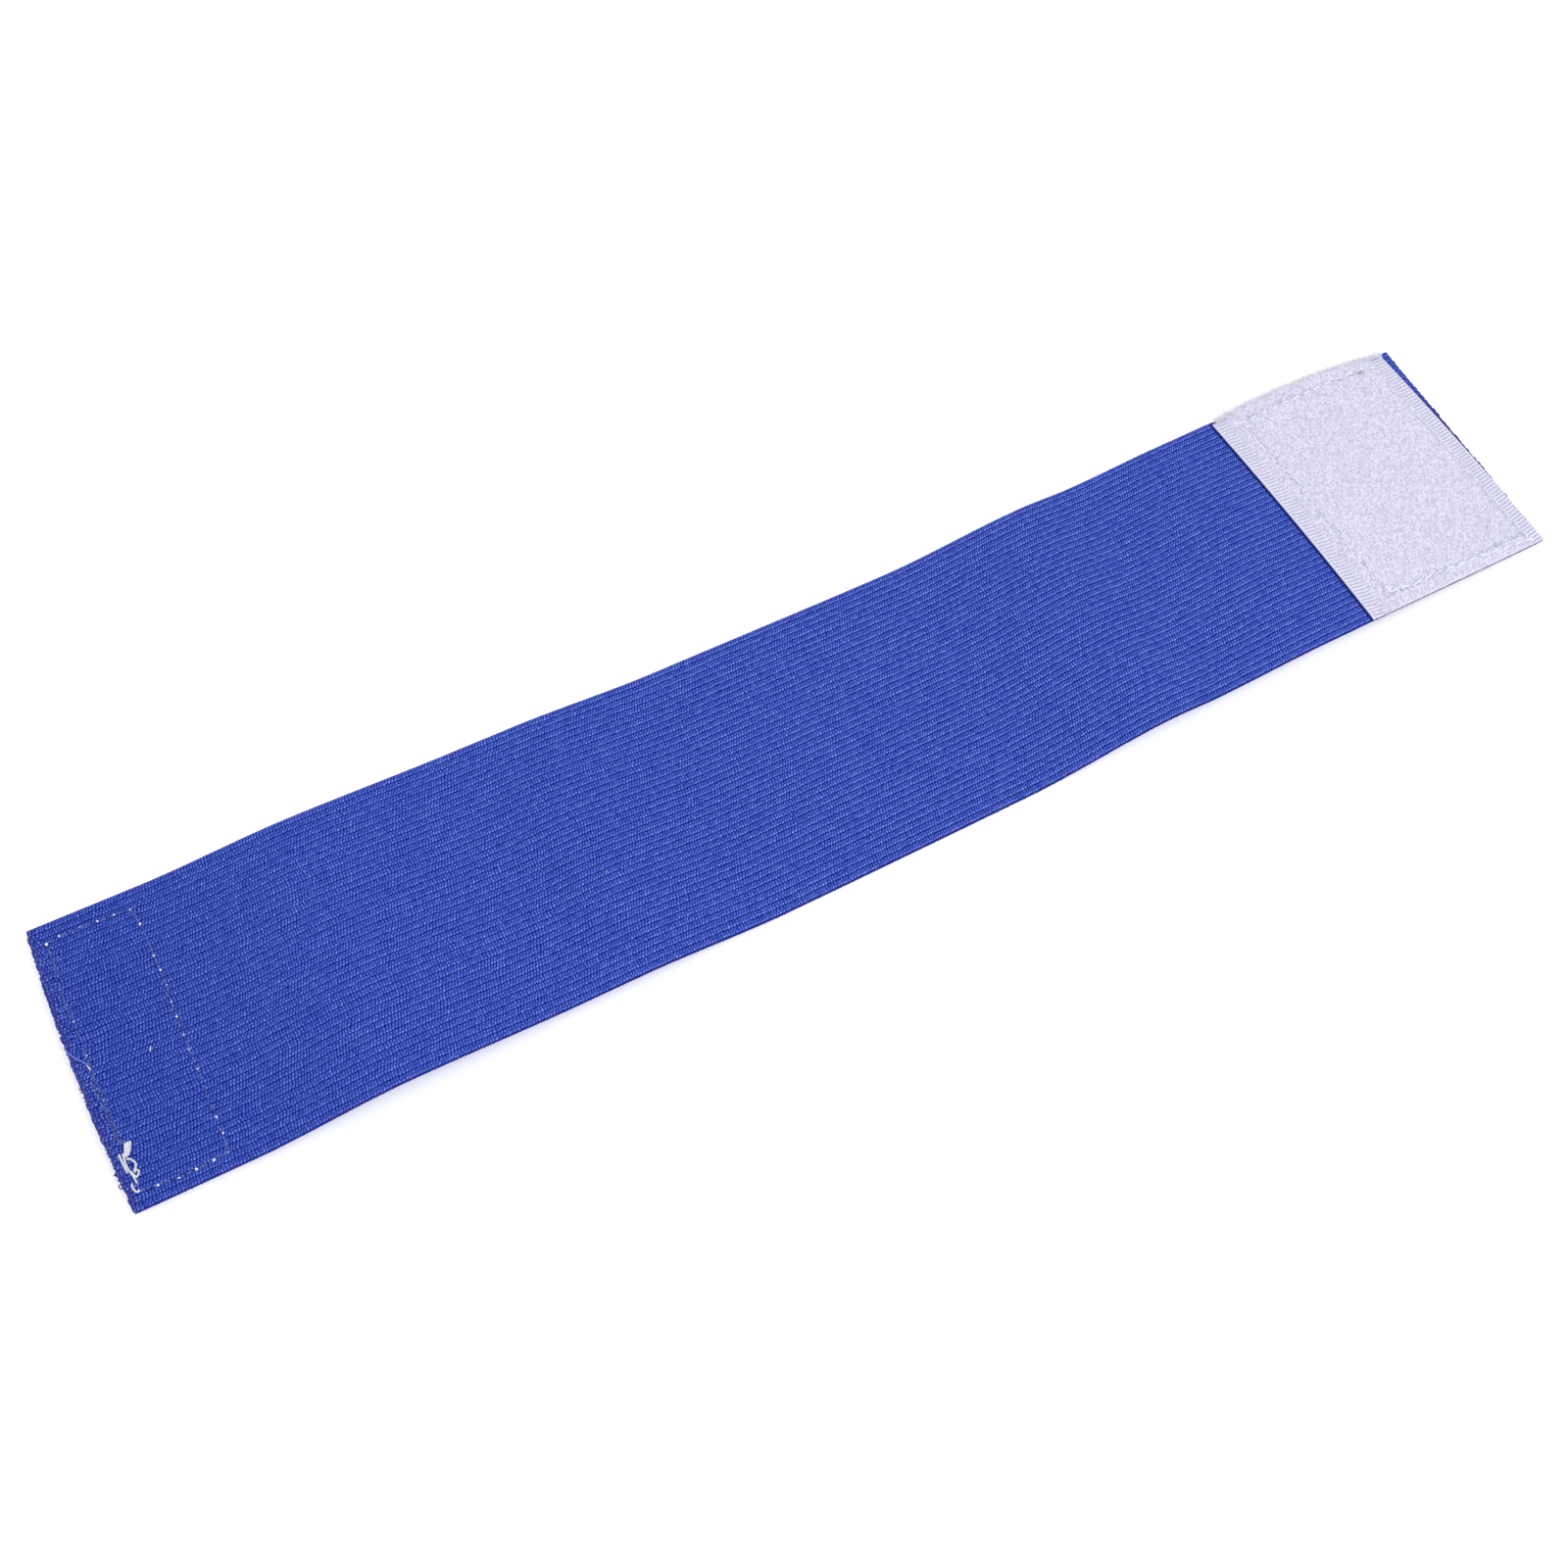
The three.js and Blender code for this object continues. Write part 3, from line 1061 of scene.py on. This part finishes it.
# %% Grow the hook tape and its hooks
hook_finish = tape_finish("hook tape", HOOK_TAPE_WIDTH, HOOK_BORDER, HOOK_BORDER, 0.0, False)
hook_tape = grow(
    "hook_tape",
    tape_tree,
    nothing(),
    sharp=SLAB_EDGE,
    Width=HOOK_TAPE_WIDTH,
    Length=HOOK_TAPE_LENGTH,
    Steps_across=40,
    Steps_along=228,
    Corner=(HOOK_INSET, -HOOK_TAPE_LENGTH / 2, -SEAM_GAP - HOOK_BASE),
    Thickness=HOOK_BASE,
    Pile=0.0,
    Border_in=HOOK_BORDER,
    Border_out=HOOK_BORDER,
    Row_bow=0.0,
    Rib_height=0.08,
    Nap=0.0,
    Furrow=0.0,
    Finish=hook_finish,
)
wire_finish, tree = new_finish("hook wire")
tone = tree.kept("tone", "Fac")
wire_colour = tree.tint(tone, shade(224, 224, 234), shade(244, 244, 250))
coat(tree, Base_Color=wire_colour, Roughness=0.35, Specular_IOR_Level=0.5)
HOOK_ROW_PITCH = 1.25
HOOK_PITCH = 1.3
HOOK_ROWS = 12
first_row = HOOK_INSET + HOOK_BORDER + 1.1
hook_rows = [
    [
        (first_row + row * HOOK_ROW_PITCH, -HOOK_TAPE_LENGTH / 2 + 1.2 + 0.6 * (row % 2), -0.88),
        (first_row + row * HOOK_ROW_PITCH, HOOK_TAPE_LENGTH / 2 - 1.6 + 0.4 * (row % 2), -0.88),
    ][:: 1 - 2 * (row % 2)]
    for row in range(HOOK_ROWS)
]
hooks = grow(
    "hooks",
    path_tree,
    path_mesh(*hook_rows),
    Pitch=HOOK_PITCH,
    Start=(0.0, 0.0, 0.0),
    Start_bend=(-0.1, 0.0, -1.2),
    End_bend=(0.6, 0.0, -1.35),
    End=(0.55, 0.0, -0.45),
    Thickness=0.19,
    Steps=8,
    Sides=5,
    Turn=(0.08, 0.08, 0.15),
    Spread=0.05,
    Seed=5,
    Finish=wire_finish,
)

# %% [markdown]
# ## Sewing thread
# A thread is two or three plies wound round each other, so each thread that is seen on
# its own is made as thin tubes that twist along one smooth path. Its finish is a darker
# and a lighter colour, mixed by fine fibres, for white and blue thread alike.

# %% Thread finishes
def thread_finish(name, dark, light, roughness, grain=6.0):
    material, tree = new_finish(name)
    flat = tree.kept("flat", "Vector")
    fibres = tree.noise(flat, grain, 3.0)
    bump = tree.node("ShaderNodeBump", {}, {"Strength": 0.5, "Distance": 0.00005, "Height": fibres})
    colour = tree.tint(fibres.rise(0.38, 0.62), dark, light)
    coat(tree, Base_Color=colour, Roughness=roughness, Normal=bump, Specular_IOR_Level=0.15)
    return material


white_thread = thread_finish("white thread", shade(226, 228, 238), shade(252, 252, 255), 0.6)
loose_thread = thread_finish("loose thread", shade(190, 197, 212), shade(244, 247, 252), 0.6)
blue_thread = thread_finish("blue thread", shade(16, 28, 98), shade(116, 136, 214), 0.7, 2.2)
dark_yarn = thread_finish("dark yarn", shade(14, 18, 52), shade(40, 46, 104), 0.8)
blue_yarn = thread_finish("blue yarn", shade(84, 104, 196), shade(128, 146, 226), 0.8)

# %% A helper for twisted thread
def smooth_path(points, step):
    """Evenly spaced points on a smooth curve through the given ones."""
    points = np.array(points, float)
    ends = [2 * points[0] - points[1], *points, 2 * points[-1] - points[-2]]
    curve = []
    for before, start, end, after in zip(ends, ends[1:], ends[2:], ends[3:]):
        for t in np.linspace(0, 1, 24, endpoint=False):
            bend = (end - before) * t + (2 * before - 5 * start + 4 * end - after) * t**2
            bend = bend + (3 * start - before - 3 * end + after) * t**3
            curve.append(start + bend / 2)
    curve = np.array([*curve, points[-1]])
    run = np.r_[0, np.cumsum(np.linalg.norm(np.diff(curve, axis=0), axis=1))]
    even = np.linspace(0, run[-1], max(3, int(run[-1] / step)))
    return np.stack([np.interp(even, run, axis) for axis in curve.T], axis=1), even


def tube(points, radii, sides=6):
    """Vertices and faces of a closed tube along points."""
    ahead = np.gradient(points, axis=0)
    ahead /= np.linalg.norm(ahead, axis=1)[:, None]
    side = np.cross(ahead, [0.0, 0.0, 1.0])
    steep = np.linalg.norm(side, axis=1) < 0.05
    side[steep] = [1.0, 0.0, 0.0]
    side /= np.linalg.norm(side, axis=1)[:, None]
    above = np.cross(side, ahead)
    turns = np.linspace(0, 2 * math.pi, sides, endpoint=False)
    ring = np.cos(turns)[:, None, None] * side + np.sin(turns)[:, None, None] * above
    places = points + ring * np.asarray(radii)[:, None]
    vertices = places.transpose(1, 0, 2).reshape(-1, 3)
    faces = [(*range(sides),), (*range(len(vertices) - sides, len(vertices)),)]
    for k in range(len(points) - 1):
        for j in range(sides):
            a, b = k * sides + j, k * sides + (j + 1) % sides
            faces.append((a, b, b + sides, a + sides))
    return vertices, faces


def twisted_thread(name, paths, width, finish, plies=2, pitch=0.8):
    """One piece of thread for each path, wound from thin plies."""
    vertices = []
    faces = []
    for path in paths:
        points, run = smooth_path(path, 0.09)
        ahead = np.gradient(points, axis=0)
        side = np.cross(ahead, [0.0, 0.0, 1.0]) + [1e-6, 0.0, 0.0]
        side /= np.linalg.norm(side, axis=1)[:, None]
        above = np.cross(side, ahead)
        above /= np.linalg.norm(above, axis=1)[:, None]
        taper = np.clip(np.minimum(run, run[-1] - run) / 0.25, 0.35, 1)
        for ply in range(plies):
            angle = (2 * math.pi * (run / pitch + ply / plies))[:, None]
            wound = points + width / 4 * (np.cos(angle) * side + np.sin(angle) * above)
            new_vertices, new_faces = tube(wound, width / 4 * 1.12 * taper)
            start = sum(len(part) for part in vertices)
            vertices.append(new_vertices)
            faces += [tuple(start + corner for corner in face) for face in new_faces]
    mesh = bpy.data.meshes.new(name)
    mesh.from_pydata(np.concatenate(vertices).tolist(), [], faces)
    mesh.materials.append(finish)
    return lay_down(new_piece(name, mesh))


print("a thread is wound from two plies")

# %% [markdown]
# ## Seams
# Each tape is held by one rectangle of lockstitch. The needle's thread is white and lies
# on the loop tape's pile in short dashes, so strands along a path are enough. The bobbin's
# thread is dark blue, so on the elastic it almost disappears. There it is a wound thread
# that dives into each hole, where the white thread is pulled through to a tiny bright
# pip. The line beside the cut end is sewn more than once, to fasten it.

# %% The seam on the loop tape
PILE_SEAM = PILE_TOP + 0.06
patch_far = [(281.8, 26.0), (291.0, 26.5), (302.8, 27.0), (317.0, 27.3), (321.6, 26.4)]
patch_right = [(321.8, 25.8), (322.2, 20.5), (323.7, 3.5), (323.6, -4.9), (324.4, -15.0)]
patch_right += [(324.9, -21.8), (325.2, -27.6)]
patch_near = [(324.9, -29.3), (318.2, -28.7), (312.0, -28.0), (305.1, -27.5), (298.9, -27.1)]
patch_near += [(292.0, -27.2), (286.0, -26.6)]
patch_left = [(285.0, -25.8), (284.6, -19.9), (284.2, -16.1), (283.7, -12.2), (283.5, 1.2)]
patch_left += [(283.2, 8.0), (282.5, 12.5), (281.9, 18.5), (281.9, 25.0)]


def at_height(path, height):
    return [(x, y, height) for x, y in path]


white_dash = dict(
    Start=(-0.85, 0.0, -0.22),
    Start_bend=(-0.55, 0.0, 0.24),
    End_bend=(0.55, 0.0, 0.24),
    End=(0.85, 0.0, -0.22),
    Thickness=0.42,
    Steps=8,
    Sides=6,
    Turn=(0.0, 0.03, 0.09),
    Spread=0.14,
    Finish=white_thread,
)
patch_stitches = grow(
    "loop_tape_stitches",
    path_tree,
    path_mesh(at_height(patch_far, PILE_SEAM), at_height(patch_near, PILE_SEAM)),
    Pitch=3.25,
    Seed=21,
    **white_dash,
)
sunk_dash = dict(
    white_dash, Thickness=0.3, Start_bend=(-0.65, 0.0, 0.12), End_bend=(0.65, 0.0, 0.12)
)
side_stitches = grow(
    "loop_tape_side_stitches",
    path_tree,
    path_mesh(at_height(patch_right, PILE_SEAM - 0.14), at_height(patch_left, PILE_SEAM - 0.1)),
    Pitch=3.3,
    Seed=22,
    **sunk_dash,
)

# %% The seam on the elastic
BAND_SEAM = BAND_THICKNESS - 0.02
seam_round = [(2.4, 25.8), (5.0, 26.4), (9.0, 26.5), (12.3, 26.2), (15.5, 26.1), (18.5, 25.8)]
seam_round += [(19.2, 22.2), (19.3, 14.9), (19.4, 8.3), (19.0, 4.7), (18.9, 1.5), (18.7, -5.6)]
seam_round += [(18.8, -9.8), (18.5, -16.2), (18.6, -23.2), (18.2, -27.0), (15.4, -27.2)]
seam_round += [(12.1, -27.4), (8.8, -27.5), (5.1, -27.1), (1.8, -26.6)]
seam_cut_end = [(2.4, 25.8), (2.3, 20.0), (1.8, 15.5), (1.7, 8.4), (2.0, 4.2), (1.5, 0.6)]
seam_cut_end += [(1.2, -5.1), (1.15, -10.0), (1.4, -14.0), (1.9, -18.0), (1.9, -26.0)]
back_tack = [(1.9, 1.4), (1.7, -1.6), (1.75, -8.0), (1.9, -12.5), (2.25, -15.0), (2.1, -18.5)]
second_tack = [(1.4, -2.0), (0.9, -6.0), (1.3, -9.0), (1.75, -12.0), (1.2, -16.0)]

STITCH = 3.3
BOBBIN_WIDTH = 0.3


def stitched(path, height):
    """A thread that dives into the cloth at each hole."""
    points = []
    for (x0, y0), (x1, y1) in zip(path, path[1:]):
        count = max(1, round(math.dist((x0, y0), (x1, y1)) / STITCH))
        for k in range(count):
            for share, lift in [(0.0, -0.16), (0.25, 0.06), (0.75, 0.06)]:
                part = (k + share) / count
                points.append((x0 + (x1 - x0) * part, y0 + (y1 - y0) * part, height + lift))
    return [*points, (*path[-1], height - 0.16)]


seam_line = twisted_thread(
    "seam_line",
    [stitched(seam_round, BAND_SEAM), stitched(seam_cut_end, BAND_SEAM)],
    BOBBIN_WIDTH,
    blue_thread,
)
tacks = twisted_thread(
    "back_tack",
    [stitched(back_tack, BAND_SEAM + 0.03), stitched(second_tack, BAND_SEAM)],
    BOBBIN_WIDTH,
    blue_thread,
)

# %% White pips where the needle's thread comes through
PIP_SHARE = 0.88
PIPS = [
    (2.4, 25.8, 0.6),
    (5.0, 26.4, 0.46),
    (9.0, 26.5, 0.26),
    (12.3, 26.2, 0.44),
    (15.5, 26.1, 0.42),
    (18.5, 25.8, 0.42),
    (19.2, 22.2, 0.58),
    (19.3, 14.9, 0.44),
    (19.4, 11.6, 0.46),
    (19.4, 8.3, 0.3),
    (19.0, 4.7, 0.34),
    (18.9, 1.5, 0.54),
    (18.8, -2.4, 0.32),
    (18.7, -5.6, 0.3),
    (18.8, -9.8, 0.36),
    (18.6, -19.9, 0.46),
    (18.6, -23.2, 0.52),
    (18.2, -27.0, 0.3),
    (15.4, -27.2, 0.54),
    (12.1, -27.4, 0.58),
    (8.8, -27.5, 0.42),
    (5.1, -27.1, 0.56),
    (1.8, -26.6, 0.56),
    (2.2, 18.7, 0.24),
    (1.9, 8.8, 0.3),
    (1.9, 1.5, 0.34),
    (1.1, -7.0, 0.34),
    (1.8, -8.0, 0.24),
    (2.2, -14.8, 0.26),
    (2.1, -16.4, 0.26),
]
pip_tree, base, size = geometry_tree("pips on points", Flatness=0.6, Detail=2, Finish=None)
sockets = {"Radius": 0.5, "Subdivisions": size["Detail"]}
bead = pip_tree.node("GeometryNodeMeshIcoSphere", {}, sockets)
wide = pip_tree.node(
    "GeometryNodeInputNamedAttribute", {"data_type": "FLOAT"}, {"Name": "width"}
)
stretch = draw(pip_tree, "FLOAT", 0.85, 1.35, 3)
turn = draw(pip_tree, "FLOAT", -1.5, 1.5, 4)
sockets = {
    "Points": base,
    "Instance": bead,
    "Rotation": pip_tree.vector(0.0, 0.0, turn),
    "Scale": pip_tree.vector(wide * stretch, wide, wide * size["Flatness"]),
}
pips = pip_tree.node("GeometryNodeInstanceOnPoints", {}, sockets)
end_tree(pip_tree, pips, size["Finish"])
pip_points = bpy.data.meshes.new("pips")
pip_points.from_pydata([(x, y, BAND_THICKNESS + 0.04) for x, y, width in PIPS], [], [])
widths = pip_points.attributes.new("width", "FLOAT", "POINT")
widths.data.foreach_set("value", [PIP_SHARE * width for x, y, width in PIPS])
seam_pips = grow("seam_pips", pip_tree, pip_points, Finish=white_thread)

# %% The undersides of both seams
hook_under = -SEAM_GAP - HOOK_BASE - 0.02
under_dash = dict(
    white_dash,
    Start=(-1.2, 0.0, 0.15),
    Start_bend=(-0.75, 0.0, -0.18),
    End_bend=(0.75, 0.0, -0.18),
    End=(1.2, 0.0, 0.15),
)
hook_seam = [(2.0, 25.8), (18.6, 25.8), (18.9, 0.0), (18.5, -26.8), (1.9, -26.6), (1.8, 0.0)]
hook_stitches = grow(
    "hook_tape_stitches",
    path_tree,
    path_mesh(at_height([*hook_seam, hook_seam[0]], hook_under)),
    Pitch=3.2,
    Seed=41,
    **under_dash,
)
patch_bobbin = grow(
    "loop_tape_bobbin_line",
    path_tree,
    path_mesh(at_height(patch_far + patch_right + patch_near + patch_left, 0.02)),
    Pitch=3.3,
    Seed=42,
    **dict(under_dash, Finish=blue_thread, Thickness=0.2),
)

# %% [markdown]
# ## Loose threads
# At the near left corner the seam ends in a small tangle: a flat folded tuft, two straight
# tails and two loops, all of white sewing thread. Further up a blue yarn crosses the cut
# end, and dark yarns fray from it. They are wound threads on paths given one by one, as
# nothing about them repeats.

# %% The tangle at the near left corner
THREAD_WIDTH = 0.42
on_top = BAND_THICKNESS + 0.12


def over_band(*points):
    """Points whose heights are counted from just over the band."""
    return [(x, y, on_top + lift) for x, y, lift in points]


tuft = []
for fold in range(6):
    slide = 0.2 * fold
    low = (1.75 + slide, -19.7 + 0.08 * fold, on_top + 0.1 + 0.05 * (fold % 3))
    high = (2.45 + slide, -17.75 + 0.1 * (fold % 2), on_top + 0.25 + 0.05 * (fold % 2))
    tuft += [low, high] if fold % 2 == 0 else [high, low]
tail = over_band(
    (0.85, -18.8, -0.2), (0.9, -19.2, 0.25), (1.0, -20.6, 0.35), (1.12, -22.2, 0.2),
    (1.2, -22.8, -0.15),
)
loop = over_band(
    (1.6, -18.9, 0.1), (1.5, -20.0, 0.3), (1.42, -21.2, 0.25), (1.55, -22.4, 0.15),
    (1.95, -23.3, 0.2), (2.2, -24.1, 0.35), (2.65, -24.0, 0.3), (3.05, -23.3, 0.25),
    (2.75, -22.95, 0.45), (2.35, -23.2, 0.5), (2.6, -22.7, 0.4), (3.0, -22.0, 0.35),
    (2.85, -21.2, 0.35), (2.3, -20.5, 0.3), (1.75, -20.25, 0.35),
)
second_tail = over_band(
    (1.55, -22.6, 0.35), (1.85, -23.6, 0.3), (1.95, -24.6, 0.15), (2.0, -25.2, -0.1),
)
last_loop = over_band(
    (1.2, -24.7, -0.15), (1.1, -25.2, 0.15), (1.12, -26.0, 0.2), (1.35, -26.6, 0.15),
    (1.75, -26.75, -0.1),
)
thread_tangle = twisted_thread(
    "thread_tangle", [tuft, tail, loop, second_tail, last_loop], THREAD_WIDTH, loose_thread
)

# %% Other loose ends
yarn = over_band(
    (-1.25, 4.6, -0.15), (-0.9, 3.3, 0.15), (0.0, 1.7, 0.2), (1.0, 0.4, 0.12),
    (1.4, -0.5, 0.0),
)
loose_yarn = twisted_thread("loose_blue_yarn", [yarn], 0.34, blue_yarn, 3, 0.7)
yarn_end = over_band((1.3, -0.35, 0.12), (1.5, -0.95, 0.15), (1.62, -1.5, -0.1))
pale_fibre = over_band((12.35, -2.9, -0.15), (12.5, -2.4, 0.0), (12.75, -1.9, -0.05))
fleck = over_band((102.65, -8.1, -0.12), (102.8, -7.9, 0.0), (102.95, -7.75, -0.12))
white_ends = twisted_thread("white_ends", [yarn_end, pale_fibre, fleck], 0.22, white_thread)
frays = [
    [(0.2, -21.3, 0.9), (-0.5, -21.6, 1.0), (-1.2, -22.1, 1.15)],
    [(0.2, -22.4, 0.8), (-0.6, -22.3, 0.9), (-1.2, -21.9, 1.2)],
    [(0.2, -22.9, 0.7), (-0.6, -23.1, 0.8), (-1.1, -23.0, 0.7)],
]
for number in range(16):
    across = -14.2 - 0.72 * number
    reach = 0.45 + 0.1 * (number * 5 % 7)
    lean = 0.3 - 0.15 * (number * 3 % 5)
    height = 0.5 + 0.15 * (number % 4)
    start = (0.3, across, height)
    bend = (-0.5 * reach, across + 0.4 * lean, height + 0.1)
    frays.append([start, bend, (-reach, across + lean, height)])
ring = [(0.2, -24.2, 0.8)]
for k in range(9):
    angle = k / 8 * 2 * math.pi
    ring.append((-0.75 + 0.34 * math.cos(angle), -24.4 + 0.42 * math.sin(angle), 0.9))
ring.append((0.2, -24.6, 0.9))
cut_end_frays = twisted_thread("cut_end_frays", [*frays, ring], 0.24, dark_yarn, 2, 0.5)
stray = [
    (281.3, 8.6, PILE_TOP + 0.1),
    (282.2, 8.7, PILE_TOP + 0.28),
    (282.9, 8.1, PILE_TOP + 0.3),
    (283.4, 7.2, PILE_TOP + 0.25),
    (283.5, 5.8, PILE_TOP + 0.05),
]
stray_thread = twisted_thread("stray_thread", [stray], 0.2, white_thread)

# %% [markdown]
# ## Ride and replace
# Every piece moves with the one rigid body, and the three CAD solids are replaced by their
# detailed pieces.

# %% Ride and replace
elastic_pieces = [woven_elastic, edge_turns, cut_yarns, loose_yarn, cut_end_frays]
loop_pieces = [loop_tape, pile_loops, edge_fibres, near_fibres]
hook_pieces = [hook_tape, hooks]
thread_pieces = [patch_stitches, side_stitches, seam_line, tacks, seam_pips, hook_stitches]
thread_pieces += [patch_bobbin, thread_tangle, white_ends, stray_thread]
slots = {
    "elastic": elastic_pieces,
    "loop_tape": loop_pieces,
    "hook_tape": hook_pieces,
    "thread": thread_pieces,
}
for slot, pieces in slots.items():
    for piece in pieces:
        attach(piece, "root")
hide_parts("elastic_band")
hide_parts("loop_patch")
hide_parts("hook_patch")
